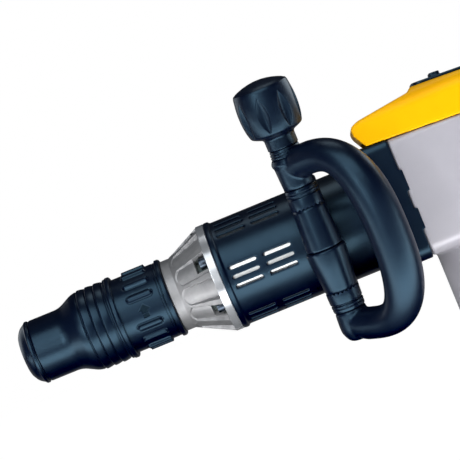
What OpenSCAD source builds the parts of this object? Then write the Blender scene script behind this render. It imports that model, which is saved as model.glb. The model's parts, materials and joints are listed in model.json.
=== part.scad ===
// Demolition hammer: chuck at -X, top cover at +Z, side handle at -Y.
// The origin is the centre of the mouth plane of the chuck, on the striking axis.

/* [Chuck] */
// Radius of the tool holder's bore, for an 18 mm hammer shank
tool_bore_r = 9.05; // [9.02:0.01:9.1]
// Radius of the plain front of the locking sleeve
nose_r = 27.5; // [27:0.1:28]
// Radius of the chisel-indexing ring
index_r = 33; // [32.5:0.1:33.2]
// Number of grip places round the indexing ring, one of them an arrow
grip_places = 16; // [12:2:18]

/* [Barrel] */
// Radius of the vented barrel cover
barrel_r = 46; // [45.5:0.1:46.5]
// Where the barrel cover starts
barrel_x = 183; // [182:0.5:184]
// Groups of vent slots round the barrel
vent_groups = 6; // [4:1:6]
// Number of ribs round the front housing
cone_ribs = 12; // [10:2:12]

/* [Body] */
// Half of the gear housing's width
body_y = 50; // [49:0.5:51]
// Where the gear housing starts
body_x = 352.6; // [352:0.1:353]
// Where the gear housing ends
body_end_x = 493; // [492:0.5:496]
// Depth of the motor housing's foot under the striking axis
foot_z = 218; // [214:1:222]

/* [Drive] */
// Throw of the crank pin
crank_throw = 17; // [16:0.5:17]
// Teeth of the crank gear
gear_teeth = 39; // [39:1:39]
// Teeth of the motor pinion
pinion_teeth = 11; // [11:1:11]
// Module of both gears
gear_module = 1.75; // [1.75:0.01:1.75]
// Radius of the cylinder's bore
cylinder_r = 22; // [22:0.5:22]

/* [Side handle] */
// Distance of the clamp rod from the striking axis
clamp_y = 63; // [63:0.5:65]
// Distance from the clamp rod to the middle of the grip
grip_reach = 74; // [70:1:78]
// Angle between the barrel and the D grip, as stored
grip_angle = 45; // [40:1:50]
// Turn of the whole side handle round the barrel, as stored
clamp_turn = 8.5; // [0:0.5:10]
// Radius of the thickest part of the D grip
grip_r = 17; // [16:0.5:17.5]
// Largest radius of the clamp knob
knob_r = 25.2; // [24.5:0.1:25.4]

/* [Rear handle] */
// Half of the rear handle's width
handle_y = 17; // [16:0.5:18]

/* [Hidden] */
$fn = 96;
eps = 0.02;              // face-to-face gap between parts of one body
run = 0.08;              // radial clearance of a running fit
fit = 0.3;               // gap between parts that move apart

// Chuck, along X
cap_x = 12.6;            // rear face of the front cap
sleeve_x0 = 13;          // front face of the locking sleeve
sleeve_x1 = 91;          // rear edge of its skirt
bore_x1 = 100;           // inner end of the tool bore
beat_r = 13;             // beat piece where it slides in the tool holder
index_x1 = 136.2;        // rear face of the indexing ring
holder_r = 20;           // tool holder where it turns in its bush
clip_x = 9;              // groove of the retaining clip
roller_x = 52;           // front of the locking rollers
roller_len = 8.5;
roller_r = 2.8;
rib_x = 102;             // grip ribs of the indexing ring
rib_len = 21;

// Front housing, along X
neck_x = 136.6;
neck_r = 31.5;
cone_x0 = 144.5;
cone_x1 = 176;
ring_r = 47.5;
bolt_circle_r = 39;
bolt_count = cone_ribs / 2;
pattern_turn = 5;        // turn of the ribs, screws and vents about the striking axis

// Drive
gear_x = 453;            // crank axis
motor_x = gear_x - gear_module * (gear_teeth + pinion_teeth) / 2;
gear_z0 = -50;
gear_z1 = -36;
rod_len = 112;           // connecting rod between its bores
crank_pin_x = gear_x - crank_throw;
wrist_x = crank_pin_x - rod_len;
disc_z = -12;            // top of the crank disc
cylinder_x0 = 184;
cylinder_x1 = 388;
piston_x0 = wrist_x - 40;
piston_x1 = wrist_x + 20;

// Body
slope = -0.05;           // fall of the parting line per millimetre along X
part_x = 335;
part_z = 54.6;           // height of the parting line at part_x
body_z0 = -50;
lid_z = 42;
motor_z = -110;          // joint between the gear housing and the motor housing
cap_z = -200;            // joint between the motor housing and its end cap
foot_reach = 90;         // the foot's front edge, ahead of the motor axis and of the centre of mass
foot_half = 41;          // half the width of that front part
motor_r = 52;
dial_x = 411.8;
dial_tilt = atan(-slope);

// Side handle
clamp_x = 272.3;
tooth_z = 38.8;          // where the clamp's serrated ends are
eye_z0 = 54.5;
eye_z1 = 82.4;
eye_r = 14.2;
arm_rise = 5.4;          // extra height of the upper arm, full at the top of its eye
rod_r = 5;
tube_r = 13.7;
hub_upper_r = 15.8;      // the rod's tube at the seam of the clamp
hub_lower_r = 17.4;
band_w = 29;
knob_z0 = 88.4;

// Rear handle
switch_x = 591;
pivot_x = 582;           // trigger pivot
pivot_z = 4;

// ---- shared shapes ----

// Turns a list of [x, radius] points about the striking axis.
module turn_x(profile) {
    rotate([0, 90, 0]) rotate_extrude() polygon([for (p = profile) [p[1], p[0]]]);
}

// Turns a list of [radius, z] points about a vertical axis.
module turn_z(profile) {
    rotate_extrude() polygon(profile);
}

module rod_x(r, x0, x1) {
    translate([x0, 0, 0]) rotate([0, 90, 0]) cylinder(r = r, h = x1 - x0);
}

module rod_y(r, y0, y1) {
    translate([0, y1, 0]) rotate([90, 0, 0]) cylinder(r = r, h = y1 - y0);
}

module rod_z(r, z0, z1) {
    translate([0, 0, z0]) cylinder(r = r, h = z1 - z0);
}

module ring_x(r_out, r_in, x0, x1) {
    turn_x([[x0, r_in], [x0, r_out], [x1, r_out], [x1, r_in]]);
}

module ring_z(r_out, r_in, z0, z1) {
    turn_z([[r_in, z0], [r_out, z0], [r_out, z1], [r_in, z1]]);
}

// Extrudes a shape drawn in Y and Z along X.
module slab_x(x0, x1) {
    translate([x0, 0, 0]) rotate([90, 0, 90]) linear_extrude(x1 - x0) children();
}

// Extrudes a shape drawn in X and Z along Y.
module slab_y(y0, y1) {
    translate([0, y1, 0]) rotate([90, 0, 0]) linear_extrude(y1 - y0) children();
}

module slab_z(z0, z1) {
    translate([0, 0, z0]) linear_extrude(z1 - z0) children();
}

// A rectangle from corner a to corner b with round corners.
module round_rect(a, b, r) {
    translate([a[0] + r, a[1]]) square([b[0] - a[0] - 2 * r, b[1] - a[1]]);
    translate([a[0], a[1] + r]) square([b[0] - a[0], b[1] - a[1] - 2 * r]);
    for (x = [a[0] + r, b[0] - r], y = [a[1] + r, b[1] - r]) translate([x, y]) circle(r);
}

module box(a, b) {
    translate(a) cube([b[0] - a[0], b[1] - a[1], b[2] - a[2]]);
}

// Socket-head screw along +Z from its head's top at z = 0.
module cap_screw(r, head_r, head_h, length) {
    difference() {
        union() {
            rod_z(head_r, -head_h, 0);
            rod_z(r, -head_h - length, -head_h);
        }
        translate([0, 0, -head_h * 0.6]) cylinder(r = r * 0.95, h = head_h, $fn = 6);
    }
}

// Flank points of an involute tooth, from its root to its tip, as [radius, half angle].
function involute(angle) = tan(angle) * 180 / PI - angle;
function tooth_half(r, base_r, pitch_half, pressure) =
    pitch_half + involute(pressure) - involute(acos(min(1, base_r / max(r, base_r))));

module spur_gear(teeth, play) {
    pressure = 25;
    flank_steps = 4;
    pitch_r = gear_module * teeth / 2;
    base_r = pitch_r * cos(pressure);
    root_r = pitch_r - gear_module;
    tip_r = pitch_r + 0.8 * gear_module;
    pitch_half = 90 / teeth - play * 90 / (PI * pitch_r);
    radii = [root_r, for (i = [0:flank_steps]) max(base_r, root_r)
        + (tip_r - max(base_r, root_r)) * i / flank_steps];
    left = [for (r = radii) [r, -tooth_half(r, base_r, pitch_half, pressure)]];
    right = [for (i = [len(radii) - 1:-1:0])
        [radii[i], tooth_half(radii[i], base_r, pitch_half, pressure)]];
    polygon([for (t = [0:teeth - 1], p = concat(left, right))
        p[0] * [cos(360 * t / teeth + p[1]), sin(360 * t / teeth + p[1])]]);
}

// A closed tube through points, each given as [x, y, z, radius], in a plane whose normal is side.
module tube_along(points, side, sides) {
    last = len(points) - 1;
    rings = [for (i = [0:last]) let (
        a = points[max(i - 1, 0)], b = points[min(i + 1, last)], p = points[i],
        ahead = [b[0] - a[0], b[1] - a[1], b[2] - a[2]],
        up = cross(side, ahead / norm(ahead)))
        for (k = [0:sides - 1]) let (t = 360 * (k + 0.5) / sides)
            [p[0], p[1], p[2]] + p[3] * (cos(t) * side + sin(t) * up)];
    walls = [for (i = [0:last - 1], k = [0:sides - 1]) let (n = (k + 1) % sides)
        [i * sides + k, i * sides + n, (i + 1) * sides + n, (i + 1) * sides + k]];
    start = [for (k = [sides - 1:-1:0]) k];
    end = [for (k = [0:sides - 1]) last * sides + k];
    polyhedron(rings, concat([start], walls, [end]));
}

// ---- chuck ----

module front_cap() {
    color("#14202c") difference() {
        turn_x([[0, 12 + eps], [0, 18.3], [9.2, 27.2], [10.2, 28], [11.8, 28], [cap_x, 27.2],
            [cap_x, 15 + eps], [3.2, 15 + eps], [3.2, 12 + eps]]);
        ring_x(18.2, 10, clip_x - 0.4, clip_x + 2);
    }
}

module retaining_clip() {
    color("#9a9da0") difference() {
        ring_x(17.4, 14.42, clip_x, clip_x + 1.5);
        box([clip_x - 1, -3, 0], [clip_x + 3, 3, 20]);
    }
}

module tool_holder() {
    color("#8d9093") difference() {
        turn_x([[0, tool_bore_r], [0, 12], [3.25, 12], [3.25, 15], [40, 15], [40, 17], [89, 17],
            [89, holder_r], [180, holder_r], [180, beat_r + run], [bore_x1, beat_r + run],
            [bore_x1, tool_bore_r]]);
        ring_x(16, 14.4, clip_x, clip_x + 1.5);
        for (side = [0, 180]) rotate([side, 0, 0])
            box([roller_x - 0.5, -3, 0], [roller_x + roller_len + 0.5, 3, 18]);
    }
}

module lock_rollers() {
    color("#b5b7b9") for (side = [0, 180]) rotate([side, 0, 0])
        translate([0, 0, tool_bore_r + 0.12 + roller_r]) rod_x(roller_r, roller_x, roller_x + roller_len);
}

// Outline of the locking sleeve from its front to its skirt, with three round ridges.
function sleeve_outline() = let (
    ridge_pitch = 7.75, ridge_x0 = 61.6, ridges = 3, steps = 6, mid_r = 34.9, wave = 0.8)
    concat(
        [[sleeve_x0, nose_r - 0.8], [sleeve_x0 + 0.8, nose_r], [41, nose_r], [43.5, 28.2],
            [47, 29.9], [51, 32], [54, 33.7], [56.5, 34.6], [59, 34.9]],
        [for (i = [0:ridges * steps]) [ridge_x0 + ridge_pitch * i / steps,
            mid_r - wave * cos(360 * i / steps)]],
        [[86, 34.3], [86.8, 36.2], [87.6, 36.6], [sleeve_x1 - 0.7, 36.6], [sleeve_x1, 36]]);

module lock_sleeve() {
    color("#14202c") turn_x(concat(sleeve_outline(),
        [[sleeve_x1, index_r + fit], [76, index_r + fit], [74, 26], [46, 26], [44, 22], [18, 22],
            [18, 17.4], [sleeve_x0, 17.4]]));
}

module lock_ring() {
    color("#9a9da0") ring_x(26 - eps, 17 + run, 51.4, 61);
}

module chuck_spring() {
    turns = 5.5;
    steps = 14;
    x0 = 62.4;
    x1 = 85.6;
    coil_r = 21;
    wire_r = 1.2;
    sides = 6;
    count = turns * steps;
    rings = [for (i = [0:count], k = [0:sides - 1]) let (
        t = 360 * i / steps, w = 360 * k / sides, r = coil_r + wire_r * cos(w))
        [x0 + (x1 - x0) * i / count + wire_r * sin(w), r * cos(t), r * sin(t)]];
    walls = [for (i = [0:count - 1], k = [0:sides - 1]) let (n = (k + 1) % sides)
        [i * sides + k, (i + 1) * sides + k, (i + 1) * sides + n, i * sides + n]];
    start = [for (k = [0:sides - 1]) k];
    end = [for (k = [sides - 1:-1:0]) count * sides + k];
    color("#7c8288") polyhedron(rings, concat([start], walls, [end]));
}

// One raised grip bar, round at both ends.
module grip_rib() {
    half_w = 2.2;
    slab_z(index_r - 2, index_r + 2.4) {
        translate([rib_x + half_w, -half_w]) square([rib_len - 2 * half_w, 2 * half_w]);
        for (x = [rib_x + half_w, rib_x + rib_len - half_w]) translate([x, 0]) circle(half_w);
    }
}

// The arrow that marks the turning direction, cut into the side that faces -Y.
module arrow_mark() {
    centre_x = rib_x + 0.52 * rib_len;
    translate([centre_x, 0, 0]) slab_y(-index_r - 1, 0.9 - index_r) {
        polygon([[-5.2, 0.6], [0, 5.6], [5.2, 0.6], [2.6, 0.6], [2.6, -2.2], [-2.6, -2.2], [-2.6, 0.6]]);
        translate([-2.6, -5.8]) square([5.2, 2.6]);
    }
}

module index_ring() {
    color("#14202c") union() {
        difference() {
            turn_x([[87, 17 + run], [87, index_r - 1], [88, index_r], [131.2, index_r],
                [131.8, 34.5], [135.6, 34.5], [index_x1, 33.9], [index_x1, 29], [98, 29],
                [98, holder_r + eps], [88.9, holder_r + eps], [88.9, 17 + run]]);
            rotate([pattern_turn / 2, 0, 0]) arrow_mark();
        }
        for (i = [1:grip_places - 1])
            rotate([90 + pattern_turn / 2 + 360 * i / grip_places, 0, 0]) grip_rib();
    }
}

// ---- front housing ----

module front_bush() {
    color("#b08d57") ring_x(24, holder_r + run, 138, 172);
}

// Bolt places lie in every second pocket between the ribs.
module each_bolt() {
    for (i = [0:bolt_count - 1]) rotate([pattern_turn + 360 * (i + 0.5) / bolt_count, 0, 0])
        translate([0, -bolt_circle_r, 0]) children();
}

// Sectors between the ribs: every second one, starting with the first.
module pocket_sectors(first) {
    half = 180 / cone_ribs - 3.4;
    reach = 70;
    for (i = [first:2:cone_ribs - 1]) let (a = pattern_turn + 360 * i / cone_ribs)
        polygon([[0, 0], reach * [cos(a - half), sin(a - half)], reach * [cos(a + half), sin(a + half)]]);
}

module front_housing() {
    color("#b9bcc0") difference() {
        turn_x([[neck_x, 24 + eps], [neck_x, neck_r - 0.6], [neck_x + 0.6, neck_r],
            [cone_x0, neck_r], [cone_x1, 46.6], [cone_x1 + 0.8, ring_r], [barrel_x - eps, ring_r],
            [barrel_x - eps, 30], [172.4, 30], [172.4, 24 + eps]]);
        // deep pockets for the screws, and shallow ones that leave a panel between the ribs
        intersection() {
            turn_x([[147.5, 32.4], [cone_x1, 33.7], [cone_x1, 60], [147.5, 60]]);
            slab_x(140, 180) pocket_sectors(1);
        }
        intersection() {
            turn_x([[147.5, 32.4], [cone_x1, 42.4], [cone_x1, 60], [147.5, 60]]);
            slab_x(140, 180) pocket_sectors(0);
        }
        each_bolt() rod_x(3.15, cone_x1 - 2, barrel_x + 1);
    }
}

module front_bolts() {
    color("#2a2e33") each_bolt() translate([cone_x1 - 6 - eps, 0, 0]) rotate([0, -90, 0])
        cap_screw(3, 5, 6, 20);
}

module beat_piece() {
    color("#8d9093") turn_x([[100.4, 0], [100.4, 8], [101.2, 8.8], [109, 8.8], [110, beat_r],
        [179.4, beat_r], [180.4, 10], [186, 10], [186, 0]]);
}

module impact_damper() {
    color("#1d1d1f") ring_x(25.9, 11, 180.6, 183.9);
}

// ---- striking mechanism ----

module impact_cylinder() {
    color("#9ea2a6") difference() {
        ring_x(26, cylinder_r, cylinder_x0, cylinder_x1);
        for (a = [0:90:270]) rotate([a, 0, 0]) translate([232, 0, 0]) rod_y(2, 20, 28);
    }
}

module striker() {
    body_r = cylinder_r - run;
    color("#85898c") difference() {
        turn_x([[204, 0], [204, 9], [210, 9], [210.8, body_r], [262, body_r], [262, 0]]);
        ring_x(cylinder_r + 1, body_r - 2.2, 250, 253);
    }
}

module striker_seal() {
    color("#1d1d1f") ring_x(cylinder_r - run, cylinder_r - run - 2.18, 250.1, 252.9);
}

module piston() {
    body_r = cylinder_r - run;
    color("#a9adb0") difference() {
        turn_x([[piston_x0, 0], [piston_x0, body_r], [piston_x1, body_r], [piston_x1, 17],
            [wrist_x - 16, 17], [wrist_x - 16, 0]]);
        ring_x(cylinder_r + 1, body_r - 2.2, piston_x0 + 6, piston_x0 + 9);
        translate([wrist_x, 0, 0]) rod_z(6.02, -30, 30);
    }
}

module piston_seal() {
    color("#1d1d1f") ring_x(cylinder_r - run, cylinder_r - run - 2.18, piston_x0 + 6.1, piston_x0 + 8.9);
}

module wrist_pin() {
    color("#8d9093") translate([wrist_x, 0, 0]) rod_z(6, -20.5, 20.5);
}

module con_rod() {
    color("#9ea2a6") difference() {
        union() {
            translate([wrist_x, 0, 0]) rod_z(11, -7, 7);
            translate([crank_pin_x, 0, 0]) rod_z(14, -7, 7);
            box([wrist_x, -6, -5], [crank_pin_x, 6, 5]);
        }
        translate([wrist_x, 0, 0]) rod_z(6.05, -10, 10);
        translate([crank_pin_x, 0, 0]) rod_z(8.05, -10, 10);
    }
}

module crank_pin() {
    color("#8d9093") translate([crank_pin_x, 0, 0]) rod_z(8, disc_z + fit, 9);
}

module crankshaft() {
    color("#85898c") translate([gear_x, 0, 0]) {
        rod_z(27, disc_z - 8, disc_z);
        rod_z(10, -66, disc_z - 8);
    }
}

module crank_gear() {
    color("#9a9da0") translate([gear_x, 0, 0]) slab_z(gear_z0, gear_z1) difference() {
        rotate(180 + 180 / gear_teeth) spur_gear(gear_teeth, 0.22);
        circle(10 + eps);
    }
}

module ball_bearing(bore_r, out_r, z0, z1) {
    ring_z(bore_r + 3, bore_r, z0, z1);
    ring_z(out_r, out_r - 3, z0, z1);
    ring_z(out_r - 3.4, bore_r + 3.4, z0 + 1.5, z1 - 1.5);
}

module crank_bearings() {
    color("#b5b7b9") translate([gear_x, 0, 0]) {
        ball_bearing(10 + run, 24, -34, -22);
        ball_bearing(10 + run, 20, -64, -52.5);
    }
}

// ---- barrel ----

module barrel_housing() {
    color("#c9ccd0") difference() {
        union() {
            turn_x([[184.2, 26 + eps], [184.2, 43], [326, 43], [326, 38], [202, 38], [202, 26 + eps]]);
            slab_x(326, body_x - 0.1) difference() {
                round_rect([-45, -44], [45, 47], 10);
                circle(26 + eps);
            }
        }
        each_bolt() rod_x(3.05, 180, 199);
    }
}

// One group of vents: two lengths of three slots, cut towards -Y.
module vent_group() {
    slot_pitch = 10.4;
    slot_r = 1.45;
    for (row = [-1:1], x = [191.6, 222.4]) rotate([row * slot_pitch, 0, 0])
        translate([0, -barrel_r - 5, 0]) rotate([-90, 0, 0]) slab_z(0, 14) {
            translate([x + slot_r, -slot_r]) square([24.6 - 2 * slot_r, 2 * slot_r]);
            for (end = [slot_r, 24.6 - slot_r]) translate([x + end, 0]) circle(slot_r);
        }
}

module barrel_cover() {
    flange_r = barrel_r + 1.8;
    color("#14202c") difference() {
        turn_x([[barrel_x, 43.2], [barrel_x, flange_r - 0.5], [barrel_x + 0.5, flange_r],
            [barrel_x + 4.4, flange_r], [barrel_x + 5, barrel_r], [325.8, barrel_r], [325.8, 43.2]]);
        for (i = [0:vent_groups - 1]) rotate([pattern_turn + 360 * i / vent_groups, 0, 0]) vent_group();
    }
}

// ---- body ----

// Section of the body in Y and Z.
module body_section(inset) {
    top = 58;
    round_rect([-body_y - 1 + inset, body_z0 - 1 + inset], [body_y + 1 - inset, top - inset], 11);
}

// Everything under the parting line, lowered by gap.
module under_parting(gap) {
    z0 = part_z - gap;
    slab_y(-90, 90) polygon([[200, -300], [700, -300], [700, z0 + slope * (700 - part_x)],
        [200, z0 + slope * (200 - part_x)]]);
}

module collar_cover() {
    tab_y = body_y + 1;
    color("#14202c") intersection() {
        union() {
            difference() {
                slab_x(318, body_x) body_section(0);
                rod_x(barrel_r + 0.1, 300, 327);
                slab_x(326 - eps, body_x + 1) body_section(4);
            }
            for (y = [-tab_y, tab_y - 1.2], z = [-26, 8])
                box([body_x - 3, y, z], [body_x + 3, y + 1.2, z + 18]);
        }
        under_parting(0.1);
    }
}

module gear_housing() {
    bearing_z = -66;
    color("#b9bcc0") difference() {
        intersection() {
            union() {
                slab_x(body_x + eps, body_end_x) body_section(1);
                slab_z(motor_z, body_z0 + 20) {
                    translate([motor_x, 0]) circle(motor_r);
                    round_rect([motor_x, -45], [body_end_x, 45], 12);
                }
            }
            under_parting(0.1);
        }
        // crank chamber, the lid's seat, and the space over the lid
        difference() {
            box([360, -40, -21], [485, 40, lid_z]);
            housing_screw_places() rod_z(8, -90, 0);
        }
        box([358.4, -42.5 - eps, lid_z - 4.1], [487.5, 42.5 + eps, 70]);
        rod_x(26 + eps, 340, cylinder_x1 + 0.1);
        // bearing seats and gear chamber
        translate([gear_x, 0, 0]) {
            rod_z(24 + eps, -34, -20);
            rod_z(37, gear_z0 - 1.5, gear_z1 + 2);
            rod_z(20 + eps, bearing_z, gear_z0);
        }
        translate([motor_x, 0, 0]) {
            rod_z(13, gear_z0 - 1.5, gear_z1 + 2);
            rod_z(11 + eps, -64, gear_z0);
            rod_z(7, -80, -60);
            rod_z(46, motor_z - 1, -74);
        }
        // seat of the tabs on the collar
        for (y = [-body_y - 1.5, body_y - 0.2], z = [-26, 8])
            box([body_x - 1, y, z - 0.1], [body_x + 3.1, y + 1.7, z + 18.1]);
        housing_screw_places() rod_z(2.55, -22, 1);
    }
}

module crankcase_lid() {
    color("#aeb1b5") difference() {
        box([358.5, -42.5, lid_z - 4.08], [487.4, 42.5, lid_z - 0.08]);
        housing_screw_places() rod_z(2.7, -10, 10);
    }
}

// Lid screws first, then the end cap's screws, each with its head at z = 0.
module housing_screw_places() {
    for (x = [366.5, 479], y = [-33.5, 33.5]) translate([x, y, lid_z + 3]) children();
}

module end_screw_places() {
    for (x = [motor_x - 38, motor_x + 38], y = [-30, 30]) translate([x, y, -foot_z + 3])
        rotate([180, 0, 0]) children();
}

module housing_screws() {
    color("#2a2e33") {
        housing_screw_places() cap_screw(2.5, 4.5, 3, 16);
        end_screw_places() cap_screw(2.5, 4.5, 3, 22);
    }
}

module control_module() {
    color("#2b3a2f") union() {
        box([376, -26, lid_z], [444, 26, 60]);
        translate([dial_x, 0, 0]) rod_z(6, 60, 67.5);
    }
}

// Side outline of the top cover in X and Z, grown inwards by wall.
module cover_side(wall) {
    low_front = part_z + 0.05 - 4 * wall;
    end_x = body_end_x + 9;
    polygon([
        [part_x + wall, low_front], [part_x - 6 + wall, 65.5], [part_x - 7 + wall, 70],
        [part_x - 5.6 + wall, 74 - wall], [part_x + 1 + wall, 76.8 - wall],
        [384, 83.4 - wall], [387, 86.8 - wall], [end_x - 14 - wall, 81.5 - wall],
        [end_x - wall, 70 - wall], [end_x - wall, low_front + slope * (end_x - part_x)]]);
}

module top_cover() {
    wall = 3;
    color("#f7c400") difference() {
        intersection() {
            slab_y(-body_y, body_y) cover_side(0);
            slab_x(320, 520) round_rect([-body_y, 20], [body_y, 87], 15);
        }
        intersection() {
            slab_y(-body_y + wall, body_y - wall) cover_side(wall);
            slab_x(320, 520) round_rect([-body_y + wall, 10], [body_y - wall, 87 - wall], 13);
        }
        dial_place() rod_z(8, -30, 3);
    }
}

// Frame on the cover's sloping top, with z = 0 on its surface.
module dial_place() {
    translate([dial_x, 0, 86.8 + slope * (dial_x - 387)]) rotate([0, dial_tilt, 0]) children();
}

module dial_bezel() {
    color("#101418") dial_place() difference() {
        slab_z(eps, 3.2) round_rect([-22, -24], [48, 24], 9);
        rod_z(14.3, 1, 4);
        rod_z(8, -1, 2);
        for (x = [24:6:42]) slab_z(-1, 4) round_rect([x - 1.3, -16], [x + 1.3, 16], 1.25);
    }
}

module speed_dial() {
    color("#101418") dial_place() {
        rod_z(14, 1.2, 3.4);
        rod_z(7, -16, 1.2);
        slab_z(3.4, 6.8) round_rect([-4.6, -12], [4.6, 12], 2.5);
    }
}

// ---- motor ----

// The motor's shaft, with the pinion cut on its upper end.
module armature_shaft() {
    color("#8d9093") translate([motor_x, 0, 0]) {
        rod_z(5, -206, gear_z0 + 1);
        slab_z(gear_z0, gear_z1) spur_gear(pinion_teeth, 0.22);
    }
}

module armature_core() {
    slots = 12;
    color("#5b4636") translate([motor_x, 0, 0]) slab_z(-155, -97) difference() {
        circle(24.5);
        circle(5 + eps);
        for (i = [0:slots - 1]) rotate(360 * i / slots) translate([20, -1.2]) square([6, 2.4]);
    }
}

module commutator() {
    color("#b87333") translate([motor_x, 0, 0]) ring_z(16, 5 + eps, -184, -162);
}

module motor_fan() {
    blades = 9;
    color("#1d1d1f") translate([motor_x, 0, 0]) {
        ring_z(40, 5 + eps, -80, -78);
        ring_z(12, 5 + eps, -90, -80);
        for (i = [0:blades - 1]) rotate(360 * i / blades) box([11, -1, -90], [39, 1, -80]);
    }
}

module motor_bearings() {
    color("#b5b7b9") translate([motor_x, 0, 0]) {
        ball_bearing(5 + run, 11, -62, -53);
        ball_bearing(5 + run, 11, -205, -196);
    }
}

module field_core() {
    color("#7a5a3a") translate([motor_x, 0, 0]) difference() {
        ring_z(44, 25.4, -155, -97);
        for (side = [0, 180]) rotate(side) box([24, -11, -160], [34, 11, -90]);
    }
}

module motor_housing() {
    wall = 4;
    color("#14202c") difference() {
        slab_z(cap_z + eps, motor_z - eps) {
            translate([motor_x, 0]) circle(motor_r);
            round_rect([motor_x, -45], [body_end_x - 22, 45], 12);
        }
        translate([motor_x, 0, 0]) {
            rod_z(motor_r - wall, -161, motor_z + 1);
            rod_z(44 + eps, -190, -150);
            rod_z(38, cap_z - 1, -180);
        }
        translate([motor_x, 0, -168]) rod_y(8.05, -60, 60);
        for (z = [-192:6:-178], side = [-1, 1]) translate([motor_x, side * 50, z])
            slab_z(-1.3, 1.3) round_rect([-22, -9], [22, 9], 1);
        end_screw_places() rod_z(2.55, -28, 1);
    }
}

module brush_holders() {
    color("#b08d57") for (side = [0, 180]) translate([motor_x, 0, -168]) rotate([0, 0, side])
        difference() {
            rod_y(8, -46.5, -18);
            box([-3, -60, -5], [3, -30, 5]);
        }
}

module brush_caps() {
    color("#101418") for (side = [0, 180]) translate([motor_x, 0, -168]) rotate([0, 0, side])
        difference() {
            rod_y(8, -51.4, -46.6);
            box([-6, -52, -0.9], [6, -50, 0.9]);
        }
}

module motor_end_cap() {
    color("#14202c") difference() {
        slab_z(-foot_z, cap_z) {
            translate([motor_x, 0]) circle(motor_r);
            round_rect([motor_x, -45], [body_end_x - 22, 45], 12);
            round_rect([motor_x - foot_reach, -foot_half], [motor_x + 5, foot_half], 14);
        }
        translate([motor_x, 0, 0]) {
            rod_z(38, cap_z - 9, cap_z + 1);
            rod_z(6, -foot_z + 2, cap_z);
        }
        translate([motor_x, 0, 0]) for (x = [-20:8:20])
            box([x - 1.5, -26, -foot_z - 1], [x + 1.5, 26, cap_z]);
        end_screw_places() {
            rod_z(2.7, -30, 1);
            rod_z(5, -3.1, 10);
        }
    }
    color("#14202c") translate([motor_x, 0, 0]) difference() {
        ring_z(14, 11 + eps, -foot_z + 5, cap_z + 3);
        for (x = [-20:8:20]) box([x - 1.5, -26, -foot_z - 1], [x + 1.5, 26, cap_z - 9]);
    }
}

// ---- rear handle ----

// Outline of the rear handle in X and Z.
module handle_outline() {
    difference() {
        polygon([
            [body_end_x + eps, 44], [506, 46], [540, 47], [566, 43], [588, 33], [602, 18], [609, 0],
            [612, -24], [612, -56], [608, -82], [598, -104], [582, -120], [560, -130], [520, -140],
            [body_end_x - 21.9, -150], [body_end_x - 21.9, motor_z - 0.1],
            [body_end_x + eps, motor_z - 0.1]]);
        polygon([
            [body_end_x + 12, 6], [body_end_x + 20, 12], [546, 13], [562, 8], [573, -4], [578, -20],
            [579, -56], [575, -74], [565, -88], [548, -97], [520, -103], [body_end_x + 18, -102],
            [body_end_x + 12, -95]]);
    }
}

module handle_cuts() {
    // trigger slot and switch chamber
    box([562, -8.6, -47], [switch_x + 1, 8.6, 12]);
    box([switch_x, -11, -46], [606, 11, 4]);
    // wire channel down to the gland
    translate([587, 0, 0]) rod_z(5, -112, -44);
    // pivot pin and gland seat
    translate([pivot_x, 0, pivot_z]) rod_y(2.05, -12, 12);
    translate([584, 0, -110]) rotate([0, 160, 0]) rod_z(8.02, -2, 40);
    translate([596, 0, 10]) rod_y(5.3, -30, 2);
    handle_screw_places() {
        rod_z(2.05, -40, 0);
        rod_z(4.2, -3.2, 10);
    }
}

module handle_screw_places() {
    for (p = [[514, 30], [570, 26], [601, -66], [570, -114], [516, -124]])
        translate([p[0], -handle_y, p[1]]) rotate([90, 0, 0]) children();
}

module handle_shell_left() {
    color("#14202c") difference() {
        slab_y(-handle_y, -eps) handle_outline();
        handle_cuts();
        pad_space();
    }
}

module handle_shell_right() {
    color("#14202c") difference() {
        slab_y(eps, handle_y) handle_outline();
        handle_cuts();
        pad_space();
    }
}

module handle_screws() {
    color("#2a2e33") handle_screw_places() cap_screw(2, 4, 3, 22);
}

// The rear of the grip, where the soft pad lies.
module pad_outline(inset) {
    polygon([[604, 12], [611.5, -6], [614.5, -26], [614.5, -56], [610.5, -80], [604, -92],
        [608 + inset, -56], [608 + inset, -20]]);
}

module pad_space() {
    slab_y(-30, 30) pad_outline(-eps);
}

module grip_pad() {
    color("#101418") slab_y(-handle_y + 2, handle_y - 2) pad_outline(0.02);
}

module trigger() {
    color("#101418") difference() {
        slab_y(-8, 8) polygon([[578.5, 8], [585, 8], [586, -2], [586, -38], [582, -44], [573, -42],
            [566.5, -34], [566, -20], [571, -6]]);
        translate([pivot_x, 0, pivot_z]) rod_y(2 + run, -12, 12);
    }
}

module power_switch() {
    color("#2f3338") box([switch_x + 1.2, -10.5, -45.5], [605, 10.5, 3.5]);
}

module trigger_pin() {
    color("#8d9093") translate([pivot_x, 0, pivot_z]) rod_y(2, -11.8, 11.8);
}

module lock_button() {
    color("#f7c400") translate([596, 0, 10]) rod_y(5, -handle_y - 2.6, -6);
}

module cord_gland() {
    color("#101418") translate([584, 0, -110]) rotate([0, 160, 0]) difference() {
        turn_z([[0, 0], [8, 0], [8, 16], [11, 16], [11, 22], [7.6, 46], [0, 46]]);
        rod_z(5.2, 10, 50);
    }
}

// ---- side handle ----

module at_clamp() {
    rotate([clamp_turn, 0, 0]) translate([clamp_x, -clamp_y, 0]) children();
}

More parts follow.
